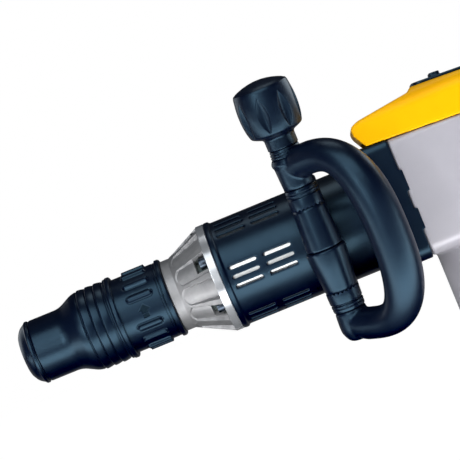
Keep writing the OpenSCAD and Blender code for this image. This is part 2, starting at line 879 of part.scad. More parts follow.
// The upper half of the clamp: half a tube beside the barrel and half a band round it.
module clamp_half(hub_r) {
    gap = 0.4;
    difference() {
        union() {
            translate([clamp_x, -clamp_y, 0])
                turn_z([[0, gap], [hub_r, gap], [hub_r, 12], [tube_r, tooth_z - fit], [0, tooth_z - fit]]);
            intersection() {
                ring_x(51, 30, clamp_x - band_w / 2, clamp_x + band_w / 2);
                box([0, -90, gap], [400, 90, 90]);
            }
            box([clamp_x - band_w / 2, -60, gap], [clamp_x + band_w / 2, -44, 16]);
        }
        rod_x(barrel_r + run, 200, 330);
        translate([clamp_x, -clamp_y, 0]) rod_z(rod_r + 0.2, -5, 60);
    }
}

module clamp_upper() {
    color("#17222d") rotate([clamp_turn, 0, 0]) clamp_half(hub_upper_r);
}

module clamp_lower() {
    color("#1c2833") rotate([clamp_turn, 0, 0]) mirror([0, 0, 1]) clamp_half(hub_lower_r);
}

// Centre line of half the D grip in its own plane: [distance from the rod, height, radius].
function grip_line() = let (r = grip_r, reach = grip_reach)
    [[4, 68.5, 13.4], [14, 70.6, 13.5], [26, 71.6, 13.6], [38, 70.4, 13.8], [49, 66.4, 14.2],
        [58.5, 59.6, 14.7], [65.5, 50.5, 15.3], [70, 39.5, 16], [72.6, 27, r - 0.5],
        [reach - 0.4, 13.5, r - 0.1], [reach, 0, r]];

// The upper arm arches higher than the lower one.
function raised(p) = [p[0], p[1] + arm_rise * pow(p[1] / eye_z1, 3), p[2]];

// One eye of the D grip, from its toothed end to its rounded outer end.
module grip_eye(crown) {
    turn_z([[0, eye_z0], [eye_r - 1.2, eye_z0], [eye_r - 0.4, eye_z0 + 8], [eye_r, eye_z0 + 15],
        [eye_r, eye_z1 - crown], [eye_r - 0.3 * crown, eye_z1 - 0.3 * crown],
        [eye_r - crown, eye_z1], [0, eye_z1]]);
}

module side_grip() {
    half = grip_line();
    line = concat([for (p = half) raised(p)],
        [for (i = [len(half) - 2:-1:0]) [half[i][0], -half[i][1], half[i][2]]]);
    color("#14202c") at_clamp() rotate(-grip_angle) difference() {
        union() {
            tube_along([for (p = line) [p[0], 0, p[1], p[2]]], [0, 1, 0], 16);
            grip_eye(2);
            mirror([0, 0, 1]) grip_eye(8);
        }
        rod_z(rod_r + 0.3, -76, 90);
        rod_z(13, eye_z1, 100);
    }
}

module serrated_rings() {
    color("#39444e") at_clamp() for (side = [0, 1]) mirror([0, 0, side]) difference() {
        turn_z([[0, tooth_z], [tube_r, tooth_z], [tube_r + 0.3, 47.6], [12.6, 48.2], [12.6, 49.2],
            [13.6, 49.8], [13.6, eye_z0 - 0.6], [12.8, eye_z0 - eps], [0, eye_z0 - eps]]);
        rod_z(rod_r + 0.3, 30, 60);
    }
}

// Outline of the knob as [radius, z].
function knob_outline() = let (h = knob_z0) [[0, h + 1.2], [12.2, h + 1.2], [13.1, h + 2],
    [13.1, h + 12], [15, h + 14.2], [21, h + 15.4], [22.4, h + 16.6], [23.6, h + 21],
    [knob_r - 0.3, h + 27], [knob_r, h + 34], [knob_r - 0.2, h + 41], [knob_r - 0.8, h + 48],
    [knob_r - 1.6, h + 52.4], [knob_r - 3.2, h + 54.4], [17, h + 57], [10, h + 58.8], [0, h + 59.6]];

module side_knob() {
    flutes = 8;
    flute_r = 5;
    flute_h = 17;
    color("#14202c") at_clamp() difference() {
        turn_z(knob_outline());
        rod_z(rod_r + eps, 70, 130);
        for (i = [0:flutes - 1]) rotate(360 * i / flutes - 58) translate([0, -knob_r - 1.6, knob_z0 + 35.3])
            turn_z(concat([[0, -flute_h]], [for (t = [-0.75:0.25:0.75]) [flute_r * cos(90 * t), flute_h * t]],
                [[0, flute_h]]));
    }
}

module knob_spacer() {
    color("#39444e") at_clamp() ring_z(12.6, rod_r + 0.2, eye_z1 + 0.1, knob_z0 + 0.9);
}

module clamp_rod() {
    color("#9a9da0") at_clamp() rod_z(rod_r, -72, 130);
}

front_cap();
retaining_clip();
tool_holder();
lock_rollers();
lock_sleeve();
lock_ring();
chuck_spring();
index_ring();
front_bush();
front_housing();
front_bolts();
beat_piece();
impact_damper();
impact_cylinder();
striker();
striker_seal();
piston();
piston_seal();
wrist_pin();
con_rod();
crank_pin();
crankshaft();
crank_gear();
crank_bearings();
barrel_housing();
barrel_cover();
collar_cover();
gear_housing();
crankcase_lid();
housing_screws();
control_module();
top_cover();
dial_bezel();
speed_dial();
armature_shaft();
armature_core();
commutator();
motor_fan();
motor_bearings();
field_core();
motor_housing();
brush_holders();
brush_caps();
motor_end_cap();
handle_shell_left();
handle_shell_right();
handle_screws();
grip_pad();
trigger();
trigger_pin();
power_switch();
lock_button();
cord_gland();
clamp_upper();
clamp_lower();
side_grip();
serrated_rings();
side_knob();
knob_spacer();
clamp_rod();
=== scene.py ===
"""Demolition hammer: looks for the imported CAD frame."""
import json
import math

import bmesh
import bpy
import numpy as np
from mathutils import Matrix, Vector


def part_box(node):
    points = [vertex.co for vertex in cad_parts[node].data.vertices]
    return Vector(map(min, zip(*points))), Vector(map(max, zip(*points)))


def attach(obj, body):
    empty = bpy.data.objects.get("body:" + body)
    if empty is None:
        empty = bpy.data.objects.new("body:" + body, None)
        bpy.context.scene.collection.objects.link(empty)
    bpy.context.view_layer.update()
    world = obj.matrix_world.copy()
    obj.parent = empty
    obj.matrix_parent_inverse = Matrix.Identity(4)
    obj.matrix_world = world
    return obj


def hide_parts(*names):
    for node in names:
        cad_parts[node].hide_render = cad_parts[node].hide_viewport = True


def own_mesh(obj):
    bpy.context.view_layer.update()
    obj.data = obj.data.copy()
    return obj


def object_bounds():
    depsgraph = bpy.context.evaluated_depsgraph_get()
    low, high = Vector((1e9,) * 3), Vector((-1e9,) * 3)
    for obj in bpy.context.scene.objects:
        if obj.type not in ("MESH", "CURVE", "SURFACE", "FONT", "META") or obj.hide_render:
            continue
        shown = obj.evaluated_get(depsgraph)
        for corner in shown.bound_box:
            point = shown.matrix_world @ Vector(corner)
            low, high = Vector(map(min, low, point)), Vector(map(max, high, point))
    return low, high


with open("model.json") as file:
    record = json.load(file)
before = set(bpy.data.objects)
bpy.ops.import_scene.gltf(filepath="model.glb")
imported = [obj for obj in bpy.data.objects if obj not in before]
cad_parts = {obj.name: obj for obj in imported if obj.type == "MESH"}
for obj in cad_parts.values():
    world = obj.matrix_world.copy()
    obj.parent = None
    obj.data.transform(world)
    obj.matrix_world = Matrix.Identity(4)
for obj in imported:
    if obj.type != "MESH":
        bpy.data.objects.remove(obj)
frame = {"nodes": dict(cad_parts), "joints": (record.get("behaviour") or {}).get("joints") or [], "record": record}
cad_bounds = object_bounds()
nodes = frame["nodes"]
joints = {joint["name"]: joint for joint in frame["joints"]}
scene = bpy.context.scene
MM = 0.001
TURN = 2 * math.pi


# ---- camera and light ----

def aim(obj, target, up):
    """Turns a camera or light so that it looks at target with up as its upward direction."""
    ahead = (target - obj.location).normalized()
    side = ahead.cross(up).normalized()
    true_up = side.cross(ahead)
    turn = Matrix((side, true_up, -ahead)).transposed()
    obj.rotation_mode = "QUATERNION"
    obj.rotation_quaternion = turn.to_quaternion()


def make_camera():
    """A long lens from the front, leaning so that the barrel points down to the left."""
    lean = math.radians(22.28)
    data = bpy.data.cameras.new("camera")
    data.sensor_width = 36
    data.lens = 165.3
    data.clip_start, data.clip_end = 0.05, 30
    cam = bpy.data.objects.new("camera", data)
    scene.collection.objects.link(cam)
    cam.location = (0.290, -1.795, 0.012)
    aim(cam, Vector((0.2026, 0, 0.0341)), Vector((math.sin(lean), 0, math.cos(lean))))
    scene.camera = cam


def area_light(name, place, target, size, power, colour=(1, 1, 1)):
    data = bpy.data.lights.new(name, "AREA")
    data.shape = "RECTANGLE"
    data.size, data.size_y = size
    data.energy = power
    data.color = colour
    light = bpy.data.objects.new(name, data)
    scene.collection.objects.link(light)
    light.location = place
    aim(light, Vector(target), Vector((0, 0.3, 1)))


def make_lights():
    middle = (0.28, 0, 0)
    area_light("key", (0.15, -1.0, 0.8), middle, (1.2, 0.8), 8.5, (0.95, 0.98, 1))
    area_light("front_fill", (-0.65, -2.0, 0.25), middle, (2.0, 1.4), 9.5)
    area_light("left_strip", (-0.55, -1.55, 0.1), middle, (0.16, 1.1), 6.5)
    area_light("top", (0.45, 0.15, 1.4), (0.4, 0, 0), (0.7, 0.5), 2)
    area_light("rear_right", (1.7, 0.9, 0.5), middle, (1.2, 1.0), 10, (0.94, 0.97, 1))
    area_light("rear_left", (-1.1, 1.0, 0.5), middle, (1.2, 1.0), 4, (0.94, 0.97, 1))


def make_world():
    """White to the camera, and a dimmer cool grey as a source of light."""
    world = bpy.data.worlds.new("studio")
    world.use_nodes = True
    tree = world.node_tree
    tree.nodes.clear()
    out = tree.nodes.new("ShaderNodeOutputWorld")
    mix = tree.nodes.new("ShaderNodeMixShader")
    path = tree.nodes.new("ShaderNodeLightPath")
    lit = tree.nodes.new("ShaderNodeBackground")
    seen = tree.nodes.new("ShaderNodeBackground")
    lit.inputs["Color"].default_value = (0.72, 0.86, 1, 1)
    lit.inputs["Strength"].default_value = 0.03
    seen.inputs["Color"].default_value = (1, 1, 1, 1)
    seen.inputs["Strength"].default_value = 1.0
    tree.links.new(path.outputs["Is Camera Ray"], mix.inputs[0])
    tree.links.new(lit.outputs[0], mix.inputs[1])
    tree.links.new(seen.outputs[0], mix.inputs[2])
    tree.links.new(mix.outputs[0], out.inputs["Surface"])
    scene.world = world


def make_floor():
    """A pale floor that glows white to the camera and throws a soft band of light up in front."""
    low = cad_bounds[0].z
    bpy.ops.mesh.primitive_plane_add(size=12, location=(0.3, 0, low - 0.0005))
    floor = bpy.context.object
    floor.name = "floor"
    near_y, far_y, glow_power = -0.9, 0.3, 5.5
    mat = bpy.data.materials.new("pale_floor")
    mat.use_nodes = True
    tree = mat.node_tree
    shader = tree.nodes["Principled BSDF"]
    shader.inputs["Base Color"].default_value = (0.08, 0.08, 0.08, 1)
    shader.inputs["Roughness"].default_value = 0.9
    shader.inputs["Emission Color"].default_value = (1, 1, 1, 1)
    coords = tree.nodes.new("ShaderNodeTexCoord")
    split = tree.nodes.new("ShaderNodeSeparateXYZ")
    band = tree.nodes.new("ShaderNodeFloatCurve")
    scale = tree.nodes.new("ShaderNodeMapRange")
    path = tree.nodes.new("ShaderNodeLightPath")
    mix = tree.nodes.new("ShaderNodeMix")
    tree.links.new(coords.outputs["Object"], split.inputs[0])
    scale.inputs["From Min"].default_value = near_y
    scale.inputs["From Max"].default_value = far_y
    tree.links.new(split.outputs["Y"], scale.inputs["Value"])
    tree.links.new(scale.outputs["Result"], band.inputs["Value"])
    curve = band.mapping.curves[0]
    for at, height in ((0.35, 0.03), (0.43, 0.9), (0.59, 0.9), (0.65, 0.03)):
        curve.points.new(at, height)
    curve.points[0].location = (0, 0.05)
    curve.points[-1].location = (1, 0.03)
    band.mapping.update()
    mix.inputs["B"].default_value = 1.0
    tree.links.new(path.outputs["Is Camera Ray"], mix.inputs["Factor"])
    glow = tree.nodes.new("ShaderNodeMath")
    glow.operation = "MULTIPLY"
    glow.inputs[1].default_value = glow_power
    tree.links.new(band.outputs[0], glow.inputs[0])
    tree.links.new(glow.outputs[0], mix.inputs["A"])
    tree.links.new(mix.outputs["Result"], shader.inputs["Emission Strength"])
    floor.data.materials.append(mat)


make_camera()
make_lights()
make_world()
make_floor()
scene.view_settings.view_transform = "Standard"
scene.view_settings.look = "None"


# ---- materials ----

class Nodes:
    """Short calls for building a material's node tree."""

    def __init__(self, name):
        self.mat = bpy.data.materials.new(name)
        self.mat.use_nodes = True
        self.tree = self.mat.node_tree
        self.shader = self.tree.nodes["Principled BSDF"]
        coords = self.tree.nodes.new("ShaderNodeTexCoord")
        self.place = coords.outputs["Object"]

    def put(self, **values):
        for key, value in values.items():
            self.shader.inputs[key.replace("_", " ")].default_value = value
        return self

    def link(self, a, b):
        self.tree.links.new(a, b)

    def stretched(self, scale):
        node = self.tree.nodes.new("ShaderNodeMapping")
        node.inputs["Scale"].default_value = scale
        self.link(self.place, node.inputs["Vector"])
        return node.outputs["Vector"]

    def noise(self, scale, detail=3, vector=None, rough=0.55):
        node = self.tree.nodes.new("ShaderNodeTexNoise")
        node.inputs["Scale"].default_value = scale
        node.inputs["Detail"].default_value = detail
        node.inputs["Roughness"].default_value = rough
        self.link(vector or self.place, node.inputs["Vector"])
        return node.outputs["Fac"]

    def ramp(self, fac, stops):
        node = self.tree.nodes.new("ShaderNodeValToRGB")
        marks = node.color_ramp.elements
        while len(marks) < len(stops):
            marks.new(0.5)
        for mark, (at, colour) in zip(marks, stops):
            mark.position = at
            mark.color = (*colour, 1) if len(colour) == 3 else colour
        self.link(fac, node.inputs["Fac"])
        return node.outputs["Color"]

    def span(self, fac, low, high, from_low=0.0, from_high=1.0):
        node = self.tree.nodes.new("ShaderNodeMapRange")
        node.inputs["From Min"].default_value = from_low
        node.inputs["From Max"].default_value = from_high
        node.inputs["To Min"].default_value = low
        node.inputs["To Max"].default_value = high
        self.link(fac, node.inputs["Value"])
        return node.outputs["Result"]

    def math(self, kind, a, b=None):
        node = self.tree.nodes.new("ShaderNodeMath")
        node.operation = kind
        for socket, value in zip(node.inputs, (a, b)):
            if value is None:
                continue
            if isinstance(value, (int, float)):
                socket.default_value = value
            else:
                self.link(value, socket)
        return node.outputs[0]

    def axis(self, letter):
        node = self.tree.nodes.new("ShaderNodeSeparateXYZ")
        self.link(self.place, node.inputs[0])
        return node.outputs[letter]

    def mix(self, fac, a, b):
        node = self.tree.nodes.new("ShaderNodeMix")
        node.data_type = "RGBA"
        self.link(fac, node.inputs["Factor"])
        for socket, value in ((node.inputs[6], a), (node.inputs[7], b)):
            if isinstance(value, tuple):
                socket.default_value = (*value, 1)
            else:
                self.link(value, socket)
        return node.outputs[2]

    def bump(self, height, strength, distance, before=None):
        node = self.tree.nodes.new("ShaderNodeBump")
        node.inputs["Strength"].default_value = strength
        node.inputs["Distance"].default_value = distance
        self.link(height, node.inputs["Height"])
        if before:
            self.link(before, node.inputs["Normal"])
        return node.outputs["Normal"]

    def edges(self, width):
        """1 on convex edges and 0 elsewhere, for wear and light-catching edges."""
        node = self.tree.nodes.new("ShaderNodeNewGeometry")
        return self.span(node.outputs["Pointiness"], 0, 1, 0.5 + width, 0.5 + 3 * width)

    def finish(self, colour=None, rough=None, normal=None):
        for value, name in ((colour, "Base Color"), (rough, "Roughness"), (normal, "Normal")):
            if value is not None:
                self.link(value, self.shader.inputs[name])
        return self.mat


def moulded(name, dark, light, rough, grain, depth):
    """Moulded plastic or rubber: a fine grain, faint cloudiness and slightly lighter edges, partly rubbed wear and
    partly painted highlight.
    """
    n = Nodes(name).put(Specular_IOR_Level=0.5, Specular_Tint=(0.38, 0.73, 1, 1))
    colour = n.ramp(n.noise(26, 3), [(0.3, dark), (0.75, light)])
    # convex edges lightened: partly rubbed wear, partly painted highlight
    worn_edge_highlight = tuple(min(1, c * 2 + 0.003) for c in light)
    colour = n.mix(n.math("MULTIPLY", n.edges(0.03), 0.5), colour, worn_edge_highlight)
    wear = n.span(n.noise(90, 4), rough - 0.06, rough + 0.08)
    return n.finish(colour, wear, n.bump(n.noise(grain, 2), 0.35, depth))


def cast_metal(name, low, high, rough, ring=None):
    """Cast metal with a sandy skin. ring is the span along X that is turned bright."""
    n = Nodes(name).put(Metallic=0.6)
    colour = n.ramp(n.noise(70, 5), [(0.25, low), (0.8, high)])
    roughness = n.span(n.noise(300, 3), rough - 0.08, rough + 0.1)
    height = n.noise(900, 4)
    if ring:
        x = n.axis("X")
        inside = n.math("MULTIPLY", n.math("GREATER_THAN", x, ring[0]), n.math("LESS_THAN", x, ring[1]))
        colour = n.mix(inside, colour, (0.46, 0.48, 0.51))
        roughness = n.mix(inside, roughness, (0.2, 0.2, 0.2))
        height = n.math("MULTIPLY", height, n.span(inside, 1, 0.1))
    return n.finish(colour, roughness, n.bump(height, 0.5, 0.0003))


def metal(name, colour, rough, stretch=(40, 40, 40)):
    """Turned or ground metal with fine tool marks."""
    n = Nodes(name).put(Metallic=1.0)
    marks = n.noise(22, 5, n.stretched(stretch))
    shade = n.ramp(marks, [(0.3, tuple(c * 0.85 for c in colour)), (0.7, colour)])
    return n.finish(shade, n.span(marks, rough - 0.07, rough + 0.1), n.bump(marks, 0.15, 0.0001))


def painted(name, low, high, rough, coat, metallic, sheen):
    """Satin or gloss paint with faint orange peel. sheen tints its reflections."""
    n = Nodes(name).put(Metallic=metallic, Coat_Weight=coat, Coat_Roughness=0.12, Specular_Tint=(*sheen, 1))
    colour = n.ramp(n.noise(18, 3), [(0.3, low), (0.75, high)])
    fleck = n.noise(2600, 2)
    colour = n.mix(n.math("MULTIPLY", fleck, 0.12), colour, tuple(min(1, c * 1.15) for c in high))
    wear = n.span(n.noise(120, 3), rough - 0.04, rough + 0.06)
    return n.finish(colour, wear, n.bump(n.noise(420, 2), 0.12, 0.0002))


BRIGHT_RING = (0.1761, 0.1832)
MAT = {
    "black_plastic": moulded("black_plastic", (0.0002, 0.0010, 0.008), (0.0005, 0.0018, 0.011),
                             0.30, 1500, 0.00012),
    "rubber": moulded("rubber", (0.0002, 0.0009, 0.008), (0.0004, 0.0016, 0.0105),
                      0.34, 1900, 0.00014),
    # a duller, darker rubber for the arrow's sunk faces, as painted shade
    "matt_painted_shade": moulded("matt_painted_shade", (0.0001, 0.0012, 0.004), (0.0003, 0.002, 0.006),
                           0.85, 1900, 0.0001),
    "cast_aluminium": cast_metal("cast_aluminium", (0.20, 0.205, 0.215), (0.33, 0.33, 0.34),
                                 0.46, BRIGHT_RING),
    "painted_housing": painted("painted_housing", (0.37, 0.36, 0.405), (0.43, 0.42, 0.465),
                               0.42, 0.2, 0.2, (1, 1, 1)),
    "yellow_cover": painted("yellow_cover", (0.92, 0.42, 0.0), (0.97, 0.50, 0.0), 0.4, 0.04, 0.0,
                            (1, 0.72, 0.12)),
    "turned_aluminium": metal("turned_aluminium", (0.56, 0.58, 0.59), 0.36, (200, 8, 8)),
    "steel": metal("steel", (0.55, 0.56, 0.58), 0.28, (8, 200, 200)),
    "dark_screws": metal("dark_screws", (0.07, 0.09, 0.12), 0.3),
    "bronze": metal("bronze", (0.58, 0.42, 0.20), 0.35),
    "copper": metal("copper", (0.72, 0.36, 0.20), 0.3, (20, 20, 400)),
    "laminations": metal("laminations", (0.24, 0.17, 0.11), 0.5, (20, 20, 900)),
    "inner_plastic": moulded("inner_plastic", (0.05, 0.055, 0.05), (0.09, 0.10, 0.09), 0.45, 1200, 0.0001),
}
NODE_SLOT = {s["node"]: s["material_slot"] for s in frame["record"]["subparts"]}
NODE_BODY = {n: body for body, members in frame["record"]["behaviour"]["bodies"].items() for n in members}


# ---- ways of making a piece ----

class Place:
    """A local frame in millimetres: along an axis, towards angle 0, and towards a quarter turn."""

    def __init__(self, origin, along, zero):
        along = np.array(along, float) / np.linalg.norm(along)
        self.origin = np.array(origin, float)
        self.axes = np.array([along, zero, np.cross(along, zero)], float)

    def put(self, local):
        return self.origin + np.asarray(local, float) @ self.axes


def smooth_step(low, high, value):
    """0 below low and 1 above high, with a soft change between; low may be the larger."""
    t = np.clip((value - low) / (high - low), 0, 1)
    return t * t * (3 - 2 * t)


def rounded(corners, steps=4):
    """Turns an outline's corners, each (along, radius) or (along, radius, round), into short arcs."""
    points = []
    for i, (*here, size) in enumerate((*c, 0) if len(c) == 2 else c for c in corners):
        here = np.array(here, float)
        before = np.array(corners[i - 1][:2]) - here
        after = np.array(corners[(i + 1) % len(corners)][:2]) - here
        reach = min(size, 0.48 * np.linalg.norm(before), 0.48 * np.linalg.norm(after))
        if not reach:
            points.append(here)
            continue
        start = here + before / np.linalg.norm(before) * reach
        end = here + after / np.linalg.norm(after) * reach
        for t in np.linspace(0, 1, steps + 1):
            points.append((1 - t) ** 2 * start + 2 * t * (1 - t) * here + t * t * end)
    return np.array(points)


def refined(points, step, above):
    """Adds points to the stretches of an outline that lie above a radius."""
    out = []
    for a, b in zip(points, np.roll(points, -1, axis=0)):
        outside = min(a[1], b[1]) > above
        parts = max(1, math.ceil(np.linalg.norm(b - a) / step)) if outside else 1
        out += [a + (b - a) * k / parts for k in range(parts)]
    return np.array(out)


def grid_faces(rows, columns, wrap_rows):
    """Quads of a grid whose columns close on themselves, and whose rows may too."""
    row, column = np.meshgrid(np.arange(rows if wrap_rows else rows - 1), np.arange(columns), indexing="ij")
    next_row, next_column = (row + 1) % rows, (column + 1) % columns
    corners = (row * columns + column, row * columns + next_column,
               next_row * columns + next_column, next_row * columns + column)
    return np.stack(corners, -1).reshape(-1, 4).tolist()


def turned(place, loop, steps, relief=None):
    """Points and faces of a closed outline of (along, radius) points turned about an axis."""
    along = np.repeat(loop[:, :1], steps, 1)
    radius = np.repeat(loop[:, 1:], steps, 1)
    angle = np.repeat(np.arange(steps)[None] * TURN / steps, len(loop), 0)
    if relief:
        along, radius = relief(along, radius, angle)
    local = np.stack([along, radius * np.cos(angle), radius * np.sin(angle)], -1)
    return place.put(local.reshape(-1, 3)), grid_faces(len(loop), steps, True)


def swept(place, line, sides):
    """A closed tube along points given as (along, outward, radius) in a place's plane."""
    line = np.array(line, float)
    ahead = np.gradient(line[:, :2], axis=0)
    ahead /= np.linalg.norm(ahead, axis=1, keepdims=True)
    angle = (np.arange(sides) + 0.5) * TURN / sides
    across = line[:, 2:] * np.cos(angle)
    up = line[:, 2:] * np.sin(angle)
    local = np.stack([line[:, :1] - ahead[:, 1:] * up, line[:, 1:2] + ahead[:, :1] * up, across], -1)
    faces = grid_faces(len(line), sides, False)
    faces += [list(range(sides))[::-1], [(len(line) - 1) * sides + k for k in range(sides)]]
    return place.put(local.reshape(-1, 3)), faces


def block(place, low, high):
    """A box between two corners of a place's frame."""
    corners = [(x, y, z) for x in (low[0], high[0]) for y in (low[1], high[1]) for z in (low[2], high[2])]
    faces = [[0, 1, 3, 2], [4, 6, 7, 5], [0, 4, 5, 1], [2, 3, 7, 6], [0, 2, 6, 4], [1, 5, 7, 3]]
    return place.put(corners), faces


def band(place, inner, outer, half_width, start, end, steps=48):
    """Part of a ring about a place's axis, from one angle to another."""
    rows = []
    for angle in np.linspace(start, end, steps):
        c, s = math.cos(angle), math.sin(angle)
        rows += [(x, r * c, r * s) for x, r in ((-half_width, inner), (half_width, inner),
                                                (half_width, outer), (-half_width, outer))]
    faces = grid_faces(steps, 4, False) + [[3, 2, 1, 0], [4 * steps - 4 + k for k in range(4)]]
    return place.put(rows), faces


def joined(*shapes):
    """Puts several shapes into one set of points and faces."""
    points, faces = [], []
    for some_points, some_faces in shapes:
        offset = sum(len(p) for p in points)
        points.append(some_points)
        faces += [[i + offset for i in face] for face in some_faces]
    return np.concatenate(points), faces


def object_from(name, shape):
    points, faces = shape
    mesh = bpy.data.meshes.new(name)
    mesh.from_pydata((points * MM).tolist(), [], faces)
    body = bmesh.new()
    body.from_mesh(mesh)
    bmesh.ops.remove_doubles(body, verts=body.verts, dist=1e-6)
    bmesh.ops.delete(body, geom=[e for e in body.edges if e.is_wire], context="EDGES")
    bmesh.ops.recalc_face_normals(body, faces=body.faces)
    body.to_mesh(mesh)
    body.free()
    obj = bpy.data.objects.new(name, mesh)
    scene.collection.objects.link(obj)
    return obj


def baked(obj):
    """Replaces an object's mesh with the result of its modifiers."""
    graph = bpy.context.evaluated_depsgraph_get()
    mesh = bpy.data.meshes.new_from_object(obj.evaluated_get(graph))
    obj.modifiers.clear()
    obj.data = mesh


def remould(obj, voxel, ease):
    """Fuses closed shapes into one even skin and rounds its edges."""
    fuse = obj.modifiers.new("fuse", "REMESH")
    fuse.mode = "VOXEL"
    fuse.voxel_size = voxel * MM
    soft = obj.modifiers.new("soft", "SMOOTH")
    soft.factor = 0.5
    soft.iterations = ease
    baked(obj)


def carve(obj, *shapes):
    """Cuts shapes out of an object."""
    cutter = object_from("cutter", joined(*shapes))
    cut = obj.modifiers.new("cut", "BOOLEAN")
    cut.operation = "DIFFERENCE"
    cut.solver = "MANIFOLD"
    cut.object = cutter
    baked(obj)
    bpy.data.objects.remove(cutter)


def dress(obj, mat):
    obj.data.materials.clear()
    obj.data.materials.append(mat)


def settle(obj, stands_for, sharp=40):
    """Gives a finished piece the body of the CAD node that it stands for and the material of that node's slot."""
    slot = NODE_SLOT[stands_for[0]]
    dress(obj, MAT[slot])
    obj.data.shade_smooth()
    obj.data.set_sharp_from_angle(angle=math.radians(sharp))
    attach(obj, NODE_BODY[stands_for[0]])
    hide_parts(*stands_for)
    return obj


def copy_of(name, *sources):
    """A new object with the joined meshes of CAD nodes."""
    shapes = []
    for source in sources:
        mesh = nodes[source].data
        points = np.array([v.co for v in mesh.vertices]) / MM
        shapes.append((points, [list(p.vertices) for p in mesh.polygons]))
    return object_from(name, joined(*shapes))


def span(node, axis):
    """Lowest and highest place of a CAD node along an axis, in millimetres."""
    low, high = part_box(node)
    return low[axis] / MM, high[axis] / MM


# ---- frames of the barrel, the clamp and its rod ----

BARREL = Place((0, 0, 0), (1, 0, 0), (0, -1, 0))
KNOB_JOINT = joints["knob_turn"]
ROD_AXIS = np.array(KNOB_JOINT["axis"])
ROD_FOOT = np.array(KNOB_JOINT["pos_m"]) / MM
GRIP_TURN = math.radians(-45)       # from the barrel to the D grip, as stored
ROD_SIDE = np.cross(ROD_AXIS, (1, 0, 0))
ROD = Place(ROD_FOOT, ROD_AXIS, math.cos(GRIP_TURN) * np.array((1, 0, 0)) + math.sin(GRIP_TURN) * ROD_SIDE)
CLAMP = Place((ROD_FOOT[0], 0, 0), (1, 0, 0), -ROD_SIDE)


# ---- chuck ----

def make_front_cap():
    x0, x1 = span("front_cap", 0)
    loop = rounded([(x0, 12.02), (x0, 17.6, 1.6), (x0 + 3.4, 23.6, 4), (x0 + 8.6, 26.9, 1.4),
                    (x0 + 9.3, 28, 0.5), (x0 + 11.3, 28, 0.5), (x0 + 11.7, 27.2, 0.3), (x1, 26.9, 0.5),
                    (x1, 15.02), (x0 + 3.2, 15.02), (x0 + 3.2, 12.02)])
    settle(object_from("nose_cap", turned(BARREL, loop, 160)), ["front_cap"])


def make_lock_sleeve():
    """The sliding sleeve: plain front, swelling middle, grip ridges and rear flange."""
    x0, x1 = span("lock_sleeve", 0)
    front = [(x0, 17.4), (x0, 27.1, 0.5), (x0 + 1, 27.5, 0.3), (x0 + 28.5, 27.5, 5), (x0 + 41.5, 34.2, 9),
             (x0 + 46.4, 35.2, 1), (x0 + 46.9, 34.2, 0.3)]
    ridge_pitch = 7.75
    ridge_x0 = x0 + 47.5
    for i in range(3):
        x = ridge_x0 + ridge_pitch * i
        front += [(x, 34.2, 0.3), (x + 0.7, 35.9, 0.8), (x + 4.2, 35.6, 2.5), (x + 7.1, 34.9, 0.4),
                  (x + 7.5, 34.2, 0.2)]
    rear = [(x0 + 71.4, 34.2, 0.3), (x0 + 72.2, 35.9, 0.6), (x0 + 73.4, 35.8, 0.2), (x0 + 73.8, 35.2, 0.2),
            (x0 + 74.2, 36.5, 0.6), (x0 + 77.2, 36.6, 0.6), (x1, 36, 0.6), (x1, 33.3), (x0 + 63, 33.3),
            (x0 + 61, 26), (x0 + 33, 26), (x0 + 31, 22), (x0 + 5, 22), (x0 + 5, 17.4)]
    settle(object_from("sliding_sleeve", turned(BARREL, rounded(front + rear), 200)), ["lock_sleeve"])


def polygon_distance(corners, u, v):
    """Distance from points to a polygon's outline, negative inside."""
    best = np.full(u.shape, 1e9)
    inside = np.zeros(u.shape, bool)
    for (ax, ay), (bx, by) in zip(corners, corners[1:] + corners[:1]):
        ex, ey = bx - ax, by - ay
        t = np.clip(((u - ax) * ex + (v - ay) * ey) / (ex * ex + ey * ey), 0, 1)
        best = np.minimum(best, np.hypot(u - ax - t * ex, v - ay - t * ey))
        if ay != by:
            crossing = (ay > v) != (by > v)
            inside ^= crossing & (u < ax + (v - ay) * ex / ey)
    return np.where(inside, -best, best)


def wrapped(angle, first, pitch):
    """Angle to the nearest of evenly spaced places, and the number of that place."""
    count = np.round((angle - first) / pitch)
    return angle - first - count * pitch, count


RING_R = 33
RIB_X = 112.5                       # middle of the grip bars and of the arrow
RING_PLACES = 16                    # fifteen grip bars and the arrow
FIRST_RIB = math.radians(2.5)


def index_ring_relief(along, radius, angle):
    """Raised grip bars, each in a groove, and a sunk arrow with a separate tail."""
    rib_half, rib_w, rib_h = 8.4, 2.3, 2.3
    offset, number = wrapped(angle, FIRST_RIB, TURN / RING_PLACES)
    across = offset * RING_R
    u = along - RIB_X
    bar = np.hypot(np.maximum(np.abs(u) - rib_half, 0), across) - rib_w
    crown = rib_h - 0.5 * (across / rib_w) ** 2
    raised = crown * smooth_step(0.35, -0.75, bar) - 0.6 * np.exp(-((bar - 0.95) / 0.42) ** 2)
    head = [(-5.2, 0.4), (0, 5.8), (5.2, 0.4), (2.5, 0.4), (2.5, -2.1), (-2.5, -2.1), (-2.5, 0.4)]
    tail = [(-2.5, -3.0), (2.5, -3.0), (2.5, -6.0), (-2.5, -6.0)]
    arrow = np.minimum(polygon_distance(head, u, -across), polygon_distance(tail, u, -across))
    sunk = -0.75 * smooth_step(0.3, -0.2, arrow)
    detail = np.where(number % RING_PLACES == 0, sunk, raised)
    return along, radius + np.where(np.abs(radius - RING_R) < 0.05, detail, 0)


